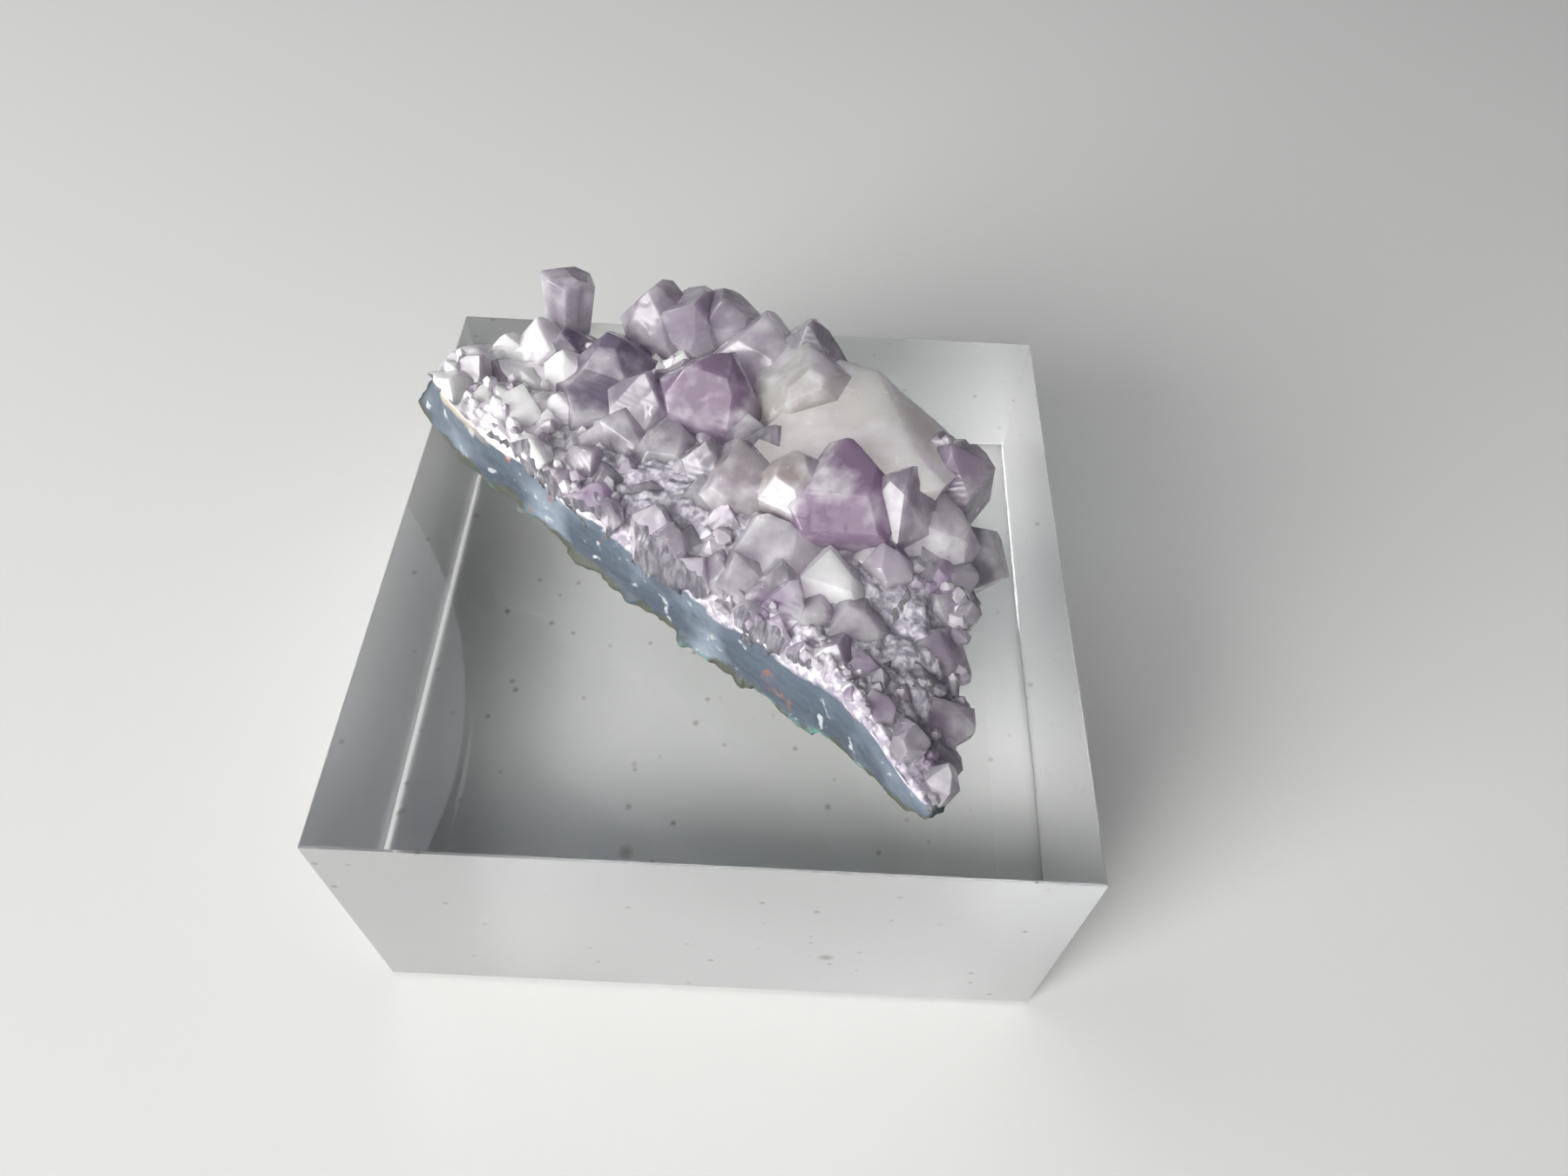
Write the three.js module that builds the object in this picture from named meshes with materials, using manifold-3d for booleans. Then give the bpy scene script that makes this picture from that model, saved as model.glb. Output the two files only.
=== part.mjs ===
// An amethyst specimen: a broken piece of geode wall that lies on a clear acrylic block.
// Units are millimetres and +Z is up. The origin is the middle of the block's underside.
import * as THREE from 'three';
import { ParametricGeometry } from 'three/addons/geometries/ParametricGeometry.js';
import { mergeVertices } from 'three/addons/utils/BufferGeometryUtils.js';
import Module from 'manifold-3d';

// The block, cut from cast sheet of one inch nominal thickness.
const BLOCK_SIDE = 50.8;
const BLOCK_THICKNESS = 24.3;
const BLOCK_CHAMFER = 0.12;

// Where the stone lies: the middle of its broken rim in plan, and the rim's direction in degrees.
const RIM_MIDDLE_X = -4.7;
const RIM_MIDDLE_Y = -10.55;
const RIM_DIRECTION = -39.2;

// The stone's own axes are s along the rim, t inwards from it and h up from the block's top.
// The skin is a shallow bowl, lowest where the stone touches down.
const BOWL_S = 1;
const BOWL_T = 11;
const BOWL_REACH_S = 130;
const BOWL_REACH_T = 40;
const REST_GAP = 0.3;
const LUMP_HEIGHT = 0.3;

// The chalcedony wall, which thins out to a feather edge at the right-hand tip.
const WALL_THICKNESS = 5.2;
const WALL_AT_TIP = 0.2;
const TIP_TAPER_START = 15;
const TIP_TAPER_END = 23.5;
const RIM_LEAN = 0.4;
// The broken edge leans in further at the left-hand end.
const LEFT_LEAN = 2.1;
const LEFT_LEAN_START = 20;
const LEFT_LEAN_END = 24.5;

// The layer of quartz on the wall: how high the small crystals stand above it, rim to middle.
const LAYER_AT_RIM = 1.2;
const LAYER_RISE = 8.6;
const LAYER_SPREAD = 13.5;
const LAYER_START = 0.6;
const LAYER_RUN_IN = 4.5;
const BED_SHARE = 0.62;
const BED_MARGIN = 3;
const BED_ROUNDING = 0.7;

// How the wall's surface is divided: steps along its outline and across it, and how far across it
// the skin ends and the broken edge ends.
const STEPS_AROUND = 88;
const STEPS_ACROSS = 20;
const SKIN_ENDS = 0.4;
const EDGE_ENDS = 0.55;

// Crystal proportions, as shares of the crystal's radius.
const POINT_HEIGHT = 1.1;
const FOOT_SHARE = 0.75;
const SHOULDER_STEP = 0.15;
const LOWEST_SHOULDER = 0.25;
const APEX_SHIFT = 0.12;

// How deep in the wall a crystal starts.
const FOOT_DEPTH = 0.5;

// The small crystals between the large ones. They stand in staggered rows, a little out of line.
const DRUSE_ROWS = 11;
const DRUSE_COLUMNS = 22;
const DRUSE_START_S = -26;
const DRUSE_START_T = 1.6;
const DRUSE_PITCH_S = 2.5;
const DRUSE_PITCH_T = 2.175;
const DRUSE_STRAY_S = 1.8;
const DRUSE_STRAY_T = 1.6;
const DRUSE_CLEARANCE = 0.62;
const DRUSE_LEFT_MARGIN = 2.4;
// Their radius, which grows inwards from the rim, and how far they stand out of the layer.
const DRUSE_RADIUS = 0.9;
const DRUSE_RADIUS_RANGE = 0.9;
const DRUSE_RADIUS_SKEW = 1.5;
const DRUSE_RADIUS_GROWTH = 0.06;
const DRUSE_LAYER_SHARE = 0.7;
const DRUSE_STAND = 0.5;
const DRUSE_STAND_RANGE = 1.4;
// They lean towards the middle of the geode, about a point this far below their tips.
const DRUSE_LEAN_S = 0.012;
const DRUSE_LEAN_T = 0.02;
const DRUSE_LEAN_STRAY = 0.6;
const DRUSE_LEAN_DEPTH = 3;
// A six-sided crystal looks the same after a turn of this many degrees.
const CRYSTAL_REPEAT = 60;

// The back of the stone broke off straight, through the large pale crystals.
const BACK_BREAK = 21.8;
const STONE_LEFT = -28;
const STONE_RIGHT = 25;
const STONE_TOP = 30;
const FRONT_BREAK_MARGIN = 0.45;

// The wall's outline seen from above, as [s, t]. It starts at the left end of the rim.
const OUTLINE = [
  [-24.5, 0.9], [-19, 0.3], [-14.5, 1.1], [-7, 1.4], [0, 1.7], [7, 1.6], [12.5, 1.9], [18, 1],
  [22.8, 0.1], [22.2, 3.5], [20.2, 7.5], [16.6, 12.5], [15, 17], [12, 19.5], [7, 21], [0, 20],
  [-7, 18.5], [-13, 16.5], [-18, 14.5], [-22.5, 12.5], [-25.5, 8], [-26, 3.5],
];
const RIM_CORNERS = 9;
const OUTLINE_TENSION = 0.3;
const BOWL_CENTRE = [0, 9.5];
// Towards the front of the block and up, along s, t and h. Crystals are turned relative to it.
const TO_FRONT = new THREE.Vector3(0.37, -0.47, 0.8);

// The crystals that can be told apart, as [tip s, tip t, tip h, foot s, foot t, radius, turn,
// point height]. Turn is in degrees, and 30 turns a face to the front.
const CRYSTALS = [
  // Dark group along the left of the back.
  [-22.5, 14.5, 13.5, -21, 12.5, 2.4, 10, 0.35],
  [-12.2, 5.3, 12.2, -15.2, 10.8, 3.8, 25, POINT_HEIGHT],
  [-19.2, 10.4, 13, -18.6, 10.8, 2.8, 30, POINT_HEIGHT],
  [-10, 10.4, 14.3, -11.7, 9.9, 2.8, 30, POINT_HEIGHT],
  [-15, 15.5, 16, -15, 17.5, 3.2, 0, POINT_HEIGHT],
  [-11.5, 16.5, 16, -14, 19, 3, 20, POINT_HEIGHT],
  [-10.5, 18.5, 15.5, -12, 20.5, 2.8, 40, POINT_HEIGHT],
  [-15, 11.8, 14.5, -15.3, 12, 3.4, 30, POINT_HEIGHT],
  // Large crystals across the middle and back, the purple ones among them.
  [-6, 14.2, 16.8, -7.5, 13.2, 4.3, 30, POINT_HEIGHT],
  [-6, 18.6, 16.3, -7, 19.5, 4.2, 30, POINT_HEIGHT],
  [-3.6, 20.5, 16.3, -4, 22, 3.2, 10, POINT_HEIGHT],
  [-2.5, 20.5, 16.5, 3.5, 17, 10.5, 30, POINT_HEIGHT],
  [-1, 15, 16.5, -3.5, 20, 5.2, 10, POINT_HEIGHT],
  [5, 13.4, 17.2, 5.8, 12.2, 5.2, 30, POINT_HEIGHT],
  // Pale crystals in front of them.
  [0.4, 8.5, 15.5, 0.2, 10, 3.6, 35, POINT_HEIGHT],
  [4.3, 6.4, 14.2, 4.6, 7.4, 3.6, 30, POINT_HEIGHT],
  [3.2, 10.2, 15.9, 3, 11.2, 2.4, 0, POINT_HEIGHT],
  [8.8, 7.8, 13.6, 9, 7.4, 4.2, 30, POINT_HEIGHT],
  [10.2, 4.4, 12, 9, 5.5, 2.8, 10, POINT_HEIGHT],
  [12.5, 5.5, 12.2, 11.5, 6.5, 2.8, 40, POINT_HEIGHT],
  // Right-hand side.
  [10.4, 16.3, 14.6, 9.9, 14.8, 5, 28, POINT_HEIGHT],
  [9.1, 14.6, 15.6, 8.5, 15, 3.2, 0, POINT_HEIGHT],
  [13.8, 16.9, 11.8, 12.4, 15.3, 3.9, 30, 0.6],
  [14.3, 8.7, 12.2, 14, 9.8, 4, 20, POINT_HEIGHT],
  [16.8, 8.6, 10.6, 16, 9, 3, 30, POINT_HEIGHT],
  [15.2, 5.6, 10.6, 14.8, 6, 2.6, 0, POINT_HEIGHT],
  [18.5, 4.5, 9.5, 18.5, 5, 2.2, 15, POINT_HEIGHT],
  // Left-hand end and the broken front.
  [-20.3, 9, 12.6, -20.8, 9, 2.8, 30, POINT_HEIGHT],
  [-21.3, 5.8, 12, -20.8, 5.5, 2.2, 10, POINT_HEIGHT],
  [-6.6, 8.5, 13.6, -7.5, 9.2, 3.6, 30, POINT_HEIGHT],
  [-9.5, 7.4, 13, -10, 8.4, 2.8, 0, POINT_HEIGHT],
  [-1.3, 6.3, 13.4, -1.5, 7.4, 3.2, 25, POINT_HEIGHT],
  [-5, 4.8, 12, -5, 6, 3, 40, POINT_HEIGHT],
  [0, 3.6, 11.6, -0.6, 5, 3, 10, POINT_HEIGHT],
];

const wasm = await Module();
wasm.setup();

// Height of the skin over the block: a bowl with shallow lumps on it.
function skinHeight(s, t) {
  const bowl = (s - BOWL_S) ** 2 / BOWL_REACH_S + (t - BOWL_T) ** 2 / BOWL_REACH_T;
  const lumps = Math.sin(0.9 * s + 1.3 * Math.sin(0.5 * t)) * Math.sin(t + 0.8 * Math.sin(0.6 * s));
  return REST_GAP + bowl + LUMP_HEIGHT * (1 + lumps);
}

// Height of the inner side of the chalcedony, where the quartz begins.
function wallHeight(s, t) {
  const taper = THREE.MathUtils.smoothstep(s, TIP_TAPER_START, TIP_TAPER_END);
  return skinHeight(s, t) + WALL_THICKNESS * (1 - (1 - WALL_AT_TIP) * taper);
}

// Thickness of the quartz layer over the wall, greatest in the middle of the stone.
function layerHeight(s, t) {
  const across = Math.exp(-(((s - BOWL_S) / LAYER_SPREAD) ** 2));
  const inwards = 1 - Math.exp(-Math.max(t - LAYER_START, 0) / LAYER_RUN_IN);
  return LAYER_AT_RIM + LAYER_RISE * across * inwards;
}

// A number from 0 to 1 that looks random but is the same on every run.
function scatter(index, salt) {
  const wave = Math.sin(index * 12.9898 + salt * 78.233) * 43758.5453;
  return wave - Math.floor(wave);
}

// A three.js geometry as a solid that can be joined and cut.
function solidOf(geometry) {
  const bare = geometry.index ? geometry.clone() : geometry;
  bare.deleteAttribute('uv');
  bare.deleteAttribute('normal');
  const merged = mergeVertices(bare, 1e-4);
  const corners = merged.index.array;
  const kept = [];
  for (let i = 0; i < corners.length; i += 3) {
    const [a, b, c] = corners.slice(i, i + 3);
    if (a !== b && b !== c && c !== a) {
      kept.push(a, b, c);
    }
  }
  return new wasm.Manifold(new wasm.Mesh({
    numProp: 3,
    vertProperties: Float32Array.from(merged.attributes.position.array),
    triVerts: Uint32Array.from(kept),
  }));
}

function geometryOf(solid) {
  const mesh = solid.getMesh();
  const geometry = new THREE.BufferGeometry();
  geometry.setAttribute('position', new THREE.BufferAttribute(mesh.vertProperties, 3));
  geometry.setIndex(new THREE.BufferAttribute(mesh.triVerts, 1));
  geometry.computeVertexNormals();
  return geometry;
}

// The wall and the bed of quartz on it, as one closed surface. Around runs along the outline.
// Across runs from the middle of the skin out to the edge, up the broken wall and back inwards.
function wallGeometry() {
  const corners = OUTLINE.map(([s, t]) => new THREE.Vector3(s, t, 0));
  const outline = new THREE.CatmullRomCurve3(corners, true, 'catmullrom', OUTLINE_TENSION);
  const centre = new THREE.Vector3(...BOWL_CENTRE, 0);
  const place = (around, across, target) => {
    const edge = outline.getPoint(around % 1).sub(centre);
    const rising = THREE.MathUtils.clamp((across - SKIN_ENDS) / (EDGE_ENDS - SKIN_ENDS), 0, 1);
    let share = Math.min(across / SKIN_ENDS, 1);
    if (across > EDGE_ENDS) {
      share = (1 - across) / (1 - EDGE_ENDS);
    }
    const atLeft = THREE.MathUtils.smoothstep(-edge.x, LEFT_LEAN_START, LEFT_LEAN_END);
    const reach = edge.length() - (RIM_LEAN + LEFT_LEAN * atLeft) * rising;
    edge.setLength(reach * share).add(centre);
    const skin = skinHeight(edge.x, edge.y);
    const wall = wallHeight(edge.x, edge.y);
    const inset = across > EDGE_ENDS ? reach * (1 - share) : 0;
    const rounding = Math.min(inset / BED_MARGIN, 1) ** BED_ROUNDING;
    const bed = BED_SHARE * layerHeight(edge.x, edge.y) * rounding;
    target.set(edge.x, edge.y, THREE.MathUtils.lerp(skin, wall, rising) + bed);
  };
  return new ParametricGeometry(place, STEPS_AROUND, STEPS_ACROSS);
}

// A six-sided crystal from foot to tip. Every other shoulder corner is raised, and the tip is
// a little off the axis, as on a natural crystal.
function crystalGeometry(foot, tip, radius, turn, pointHeight, index) {
  const axis = tip.clone().sub(foot);
  const length = axis.length();
  axis.normalize();
  const shoulder = Math.max(length - pointHeight * radius, LOWEST_SHOULDER * radius);
  const profile = [
    new THREE.Vector2(0, 0),
    new THREE.Vector2(FOOT_SHARE * radius, 0),
    new THREE.Vector2(radius, shoulder),
    new THREE.Vector2(0, length),
  ];
  const geometry = new THREE.LatheGeometry(profile, 6, THREE.MathUtils.degToRad(turn));
  const position = geometry.attributes.position;
  const shift = 2 * Math.PI * scatter(index, 11);
  for (let side = 0; side <= 6; side += 1) {
    const shoulderCorner = side * profile.length + 2;
    const apexCorner = shoulderCorner + 1;
    const step = side % 2 === 0 ? SHOULDER_STEP : -SHOULDER_STEP;
    position.setY(shoulderCorner, shoulder + step * radius);
    position.setX(apexCorner, APEX_SHIFT * radius * Math.sin(shift));
    position.setZ(apexCorner, APEX_SHIFT * radius * Math.cos(shift));
  }
  const side = new THREE.Vector3().crossVectors(TO_FRONT, axis).normalize();
  const front = new THREE.Vector3().crossVectors(side, axis);
  const frame = new THREE.Matrix4().makeBasis(side, axis, front).setPosition(foot);
  geometry.applyMatrix4(frame);
  return geometry;
}

function largeCrystals() {
  return CRYSTALS.map(([tipS, tipT, tipH, footS, footT, radius, turn, pointHeight], index) => {
    const foot = new THREE.Vector3(footS, footT, wallHeight(footS, footT) - FOOT_DEPTH);
    const tip = new THREE.Vector3(tipS, tipT, tipH);
    return crystalGeometry(foot, tip, radius, turn, pointHeight, index);
  });
}

function insideOutline(s, t) {
  let inside = false;
  OUTLINE.forEach(([s0, t0], i) => {
    const [s1, t1] = OUTLINE[(i + 1) % OUTLINE.length];
    if ((t0 > t) !== (t1 > t) && s < (s1 - s0) * (t - t0) / (t1 - t0) + s0) {
      inside = !inside;
    }
  });
  return inside;
}

function insideLargeCrystal(s, t) {
  return CRYSTALS.some(([tipS, tipT, , footS, footT, radius]) => {
    const middleS = (2 * tipS + footS) / 3;
    const middleT = (2 * tipT + footT) / 3;
    return Math.hypot(s - middleS, t - middleT) < DRUSE_CLEARANCE * radius;
  });
}

// A number from -0.5 to 0.5, for what strays to either side.
function stray(index, salt) {
  return scatter(index, salt) - 0.5;
}

function smallCrystal(s, t, index) {
  const width = DRUSE_RADIUS_RANGE * scatter(index, 3) ** DRUSE_RADIUS_SKEW;
  const radius = DRUSE_RADIUS + width + DRUSE_RADIUS_GROWTH * t;
  const base = wallHeight(s, t);
  const stand = DRUSE_STAND + DRUSE_STAND_RANGE * scatter(index, 4);
  const top = base + DRUSE_LAYER_SHARE * layerHeight(s, t) + stand;
  const leanS = DRUSE_LEAN_STRAY * stray(index, 5) - DRUSE_LEAN_S * (s - BOWL_S);
  const leanT = DRUSE_LEAN_STRAY * stray(index, 6) - DRUSE_LEAN_T * (t - BOWL_T);
  const below = top - base + FOOT_DEPTH - DRUSE_LEAN_DEPTH;
  const foot = new THREE.Vector3(s - leanS * below, t - leanT * below, base - FOOT_DEPTH);
  const tip = new THREE.Vector3(s + leanS * DRUSE_LEAN_DEPTH, t + leanT * DRUSE_LEAN_DEPTH, top);
  const turn = CRYSTAL_REPEAT * scatter(index, 7);
  return crystalGeometry(foot, tip, radius, turn, POINT_HEIGHT, index);
}

function smallCrystals() {
  const crystals = [];
  for (let row = 0; row < DRUSE_ROWS; row += 1) {
    for (let column = 0; column < DRUSE_COLUMNS; column += 1) {
      const index = row * DRUSE_COLUMNS + column + 1;
      const staggered = column + (row % 2) / 2;
      const s = DRUSE_START_S + staggered * DRUSE_PITCH_S + DRUSE_STRAY_S * stray(index, 1);
      const t = DRUSE_START_T + row * DRUSE_PITCH_T + DRUSE_STRAY_T * stray(index, 2);
      const onBed = insideOutline(s, t) && insideOutline(s - DRUSE_LEFT_MARGIN, t);
      if (onBed && !insideLargeCrystal(s, t)) {
        crystals.push(smallCrystal(s, t, index));
      }
    }
  }
  return crystals;
}

// The space that the breaks left: behind the rim's broken face and in front of the straight back.
function spaceBetweenBreaks() {
  const rim = OUTLINE.slice(0, RIM_CORNERS).map(([s, t]) => [s, t + FRONT_BREAK_MARGIN]);
  const shape = new THREE.Shape();
  shape.moveTo(STONE_LEFT, rim[0][1]);
  rim.forEach(([s, t]) => shape.lineTo(s, t));
  shape.lineTo(STONE_RIGHT, rim[RIM_CORNERS - 1][1]);
  shape.lineTo(STONE_RIGHT, BACK_BREAK);
  shape.lineTo(STONE_LEFT, BACK_BREAK);
  return new THREE.ExtrudeGeometry(shape, { depth: STONE_TOP, bevelEnabled: false });
}

function stoneMesh() {
  const crystals = [...largeCrystals(), ...smallCrystals()]
    .map(solidOf)
    .reduce((joined, crystal) => joined.add(crystal))
    .intersect(solidOf(spaceBetweenBreaks()));
  const stone = solidOf(wallGeometry()).add(crystals);
  const material = new THREE.MeshStandardMaterial({ color: '#a99bad', roughness: 0.3, metalness: 0 });
  const mesh = new THREE.Mesh(geometryOf(stone), material);
  mesh.name = 'amethyst_cluster';
  mesh.position.set(RIM_MIDDLE_X, RIM_MIDDLE_Y, BLOCK_THICKNESS);
  mesh.rotation.z = THREE.MathUtils.degToRad(RIM_DIRECTION);
  return mesh;
}

// The block stands on its flat underside. Its twelve edges have a narrow polished chamfer.
function blockMesh() {
  const half = BLOCK_SIDE / 2 - BLOCK_CHAMFER;
  const shape = new THREE.Shape();
  shape.moveTo(-half, -half);
  shape.lineTo(half, -half);
  shape.lineTo(half, half);
  shape.lineTo(-half, half);
  const geometry = new THREE.ExtrudeGeometry(shape, {
    depth: BLOCK_THICKNESS - 2 * BLOCK_CHAMFER,
    bevelThickness: BLOCK_CHAMFER,
    bevelSize: BLOCK_CHAMFER,
    bevelSegments: 1,
  });
  geometry.translate(0, 0, BLOCK_CHAMFER);
  const material = new THREE.MeshStandardMaterial({
    color: '#e9eef0', roughness: 0.05, metalness: 0, transparent: true, opacity: 0.35,
  });
  const mesh = new THREE.Mesh(geometry, material);
  mesh.name = 'acrylic_block';
  return mesh;
}

const group = new THREE.Group();
group.add(stoneMesh(), blockMesh());

export default group;
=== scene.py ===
import collections
import itertools

import bmesh
import bpy
import numpy as np
from mathutils import Matrix, Vector


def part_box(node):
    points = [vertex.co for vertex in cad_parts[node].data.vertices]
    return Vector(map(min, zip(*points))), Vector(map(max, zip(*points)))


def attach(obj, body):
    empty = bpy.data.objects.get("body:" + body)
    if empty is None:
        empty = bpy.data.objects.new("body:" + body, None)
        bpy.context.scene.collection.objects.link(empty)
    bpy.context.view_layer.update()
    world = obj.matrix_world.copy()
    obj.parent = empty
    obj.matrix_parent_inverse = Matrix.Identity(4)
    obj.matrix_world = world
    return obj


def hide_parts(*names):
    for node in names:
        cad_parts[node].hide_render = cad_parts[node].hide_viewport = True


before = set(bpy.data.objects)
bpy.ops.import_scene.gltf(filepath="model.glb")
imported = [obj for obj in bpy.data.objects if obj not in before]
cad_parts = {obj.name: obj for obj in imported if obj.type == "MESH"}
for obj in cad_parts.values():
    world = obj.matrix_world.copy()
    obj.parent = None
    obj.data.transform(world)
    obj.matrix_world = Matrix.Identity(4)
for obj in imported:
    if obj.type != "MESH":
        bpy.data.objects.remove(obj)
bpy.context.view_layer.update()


# The camera is held above the front of the block and looks down on the stone. It stands
# 53 degrees above the table, almost straight in front, and leans two degrees to one side.

CAMERA_PLACE = (0.003681, -0.052798, 0.090409)
CAMERA_RIGHT = (0.99874, 0.03592, 0.03519)
CAMERA_UP = (-0.04983, 0.80003, 0.59789)
CAMERA_BACK = (-0.00668, -0.59889, 0.8008)
CAMERA_SENSOR, CAMERA_LENS = 36, 25.46
CAMERA_NEAREST = 0.005

camera_data = bpy.data.cameras.new("camera")
camera_data.sensor_width = CAMERA_SENSOR
camera_data.lens = CAMERA_LENS
camera_data.clip_start = CAMERA_NEAREST
camera = bpy.data.objects.new("camera", camera_data)
turned = np.array([CAMERA_RIGHT, CAMERA_UP, CAMERA_BACK]).T
camera.matrix_world = Matrix.Translation(CAMERA_PLACE) @ Matrix(turned.tolist()).to_4x4()
bpy.context.scene.collection.objects.link(camera)
bpy.context.scene.camera = camera


# The block is clear cast acrylic, sawn from thick sheet. Its top and bottom keep the sheet's
# polish, and its four sawn sides are sanded. It is the measured solid itself, with a clear
# material and with dust lying on it.

MM = 0.001
ACRYLIC_IOR = 1.49
ACRYLIC_DEPTH_COLOUR = "#c9d8e2"
ACRYLIC_DEPTH_DENSITY = 1.6
POLISHED, SANDED = 0.0, 0.28
SIDE_HAZE = 0.22
DUST_COLOUR = "#9a8f83"
# Fine dust and larger marks: the spacing of their places and the radius of one in
# millimetres, and the share of places that have one.
SPECKS = ((1.8, 0.3, 0.3), (7.5, 0.8, 0.2))


def linear(colour):
    """Turns an sRGB hex colour into linear red, green and blue, with alpha 1 behind them."""
    srgb = np.array([int(colour[i:i + 2], 16) for i in (1, 3, 5)]) / 255
    low, high = srgb / 12.92, ((srgb + 0.055) / 1.055) ** 2.4
    return (*np.where(srgb <= 0.04045, low, high).tolist(), 1.0)


def add(tree, kind, inputs, **settings):
    """Adds one node. Each input takes a value, or an output of another node to link."""
    node = tree.nodes.new("ShaderNode" + kind)
    for name, value in settings.items():
        setattr(node, name, value)
    for socket, value in inputs.items():
        if isinstance(value, bpy.types.NodeSocket):
            tree.links.new(value, node.inputs[socket])
        else:
            node.inputs[socket].default_value = value
    return node


def new_material(name):
    """A material of that name with no nodes yet, and its node tree."""
    material = bpy.data.materials.new(name)
    material.use_nodes = True
    material.node_tree.nodes.clear()
    return material, material.node_tree


def clear_acrylic():
    """Cast acrylic is clear as water. Its broad faces are mirror smooth, and its sawn sides
    are sanded, so they blur what is seen through them. Specks of dust lie on all of them."""
    material, tree = new_material("clear_acrylic")
    place = add(tree, "TexCoord", {}).outputs["Object"]
    facing = add(tree, "TexCoord", {}).outputs["Normal"]
    upright = add(tree, "SeparateXYZ", {0: facing}).outputs["Z"]
    flat = add(tree, "Math", {0: upright}, operation="ABSOLUTE").outputs[0]
    rough = add(tree, "MapRange", {"Value": flat, "To Min": SANDED, "To Max": POLISHED}).outputs[0]
    clear = add(tree, "MapRange", {"Value": flat, "To Min": 1 - SIDE_HAZE, "To Max": 1.0}).outputs[0]
    colour = (1.0, 1.0, 1.0, 1.0)
    for spacing, radius, share in SPECKS:
        cells = add(tree, "TexVoronoi", {"Vector": place, "Scale": 1 / (spacing * MM)})
        draw = add(tree, "SeparateColor", {0: cells.outputs["Color"]}).outputs["Red"]
        chosen = add(tree, "Math", {0: draw, 1: share}, operation="LESS_THAN")
        core = add(tree, "MapRange", {"Value": cells.outputs["Distance"], "From Max": radius / spacing,
                                      "To Min": 1.0, "To Max": 0.0}).outputs[0]
        dust = add(tree, "Math", {0: chosen.outputs[0], 1: core}, operation="MULTIPLY")
        colour = add(tree, "Mix", {0: dust.outputs[0], 6: colour, 7: linear(DUST_COLOUR)},
                     data_type="RGBA").outputs[2]
    shader = add(tree, "BsdfPrincipled", {
        "Base Color": colour, "Roughness": rough, "IOR": ACRYLIC_IOR, "Transmission Weight": clear})
    inside = add(tree, "VolumeAbsorption", {
        "Color": linear(ACRYLIC_DEPTH_COLOUR), "Density": ACRYLIC_DEPTH_DENSITY})
    add(tree, "OutputMaterial", {"Surface": shader.outputs[0], "Volume": inside.outputs[0]})
    return material


def dress(piece, material):
    """Gives a piece that material and no other."""
    piece.data.materials.clear()
    piece.data.materials.append(material)


dress(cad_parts["acrylic_block"], clear_acrylic())


# The wall of the geode is a broken slab of banded blue-grey chalcedony, dull as unglazed
# china. Its outer skin is dark green-brown basalt clay, and white quartz lies on its inside.
# Its sizes are millimetres: s along the rim, t inwards from it and h up from the block.

BLOCK_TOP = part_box("acrylic_block")[1][2] / MM
RIM_MIDDLE = np.array([-4.7, -10.55])
RIM_DIRECTION = np.radians(-39.2)
BOWL_S, BOWL_T = 1, 11
BOWL_REACH_S, BOWL_REACH_T = 130, 40
REST_GAP = 0.3
LUMP_HEIGHT = 0.3
WALL_THICKNESS, WALL_AT_TIP = 5.2, 0.2
TIP_TAPER_START, TIP_TAPER_END = 15, 23.5
RIM_LEAN = 0.4
LEFT_LEAN, LEFT_LEAN_START, LEFT_LEAN_END = 2.1, 20, 24.5
LAYER_AT_RIM, LAYER_RISE = 1.2, 8.6
LAYER_SPREAD, LAYER_START, LAYER_RUN_IN = 13.5, 0.6, 4.5
BED_SHARE, BED_MARGIN, BED_ROUNDING = 0.62, 3, 0.7
OUTLINE = np.array([
    (-24.5, 0.9), (-19, 0.3), (-14.5, 1.1), (-7, 1.4), (0, 1.7), (7, 1.6), (12.5, 1.9), (18, 1),
    (22.8, 0.1), (22.2, 3.5), (20.2, 7.5), (16.6, 12.5), (15, 17), (12, 19.5), (7, 21), (0, 20),
    (-7, 18.5), (-13, 16.5), (-18, 14.5), (-22.5, 12.5), (-25.5, 8), (-26, 3.5)])
OUTLINE_TENSION = 0.3
BOWL_CENTRE = np.array([0, 9.5])
RIM_CORNERS = 9


def smoothstep(x, low, high):
    """Rises from 0 at low to 1 at high along 3x² - 2x³."""
    x = np.clip((x - low) / (high - low), 0, 1)
    return x * x * (3 - 2 * x)


def skin_height(s, t):
    """A shallow bowl, lowest where the stone touches down, with crossed sine waves as lumps."""
    bowl = (s - BOWL_S) ** 2 / BOWL_REACH_S + (t - BOWL_T) ** 2 / BOWL_REACH_T
    lumps = np.sin(0.9 * s + 1.3 * np.sin(0.5 * t)) * np.sin(t + 0.8 * np.sin(0.6 * s))
    return REST_GAP + bowl + LUMP_HEIGHT * (1 + lumps)


def wall_height(s, t):
    """The skin's height plus the chalcedony's thickness, which fades out at the right tip."""
    taper = smoothstep(s, TIP_TAPER_START, TIP_TAPER_END)
    return skin_height(s, t) + WALL_THICKNESS * (1 - (1 - WALL_AT_TIP) * taper)


def layer_height(s, t):
    """A bell curve along the rim times an exponential rise inwards from it."""
    across = np.exp(-((s - BOWL_S) / LAYER_SPREAD) ** 2)
    inwards = 1 - np.exp(-np.maximum(t - LAYER_START, 0) / LAYER_RUN_IN)
    return LAYER_AT_RIM + LAYER_RISE * across * inwards


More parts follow.
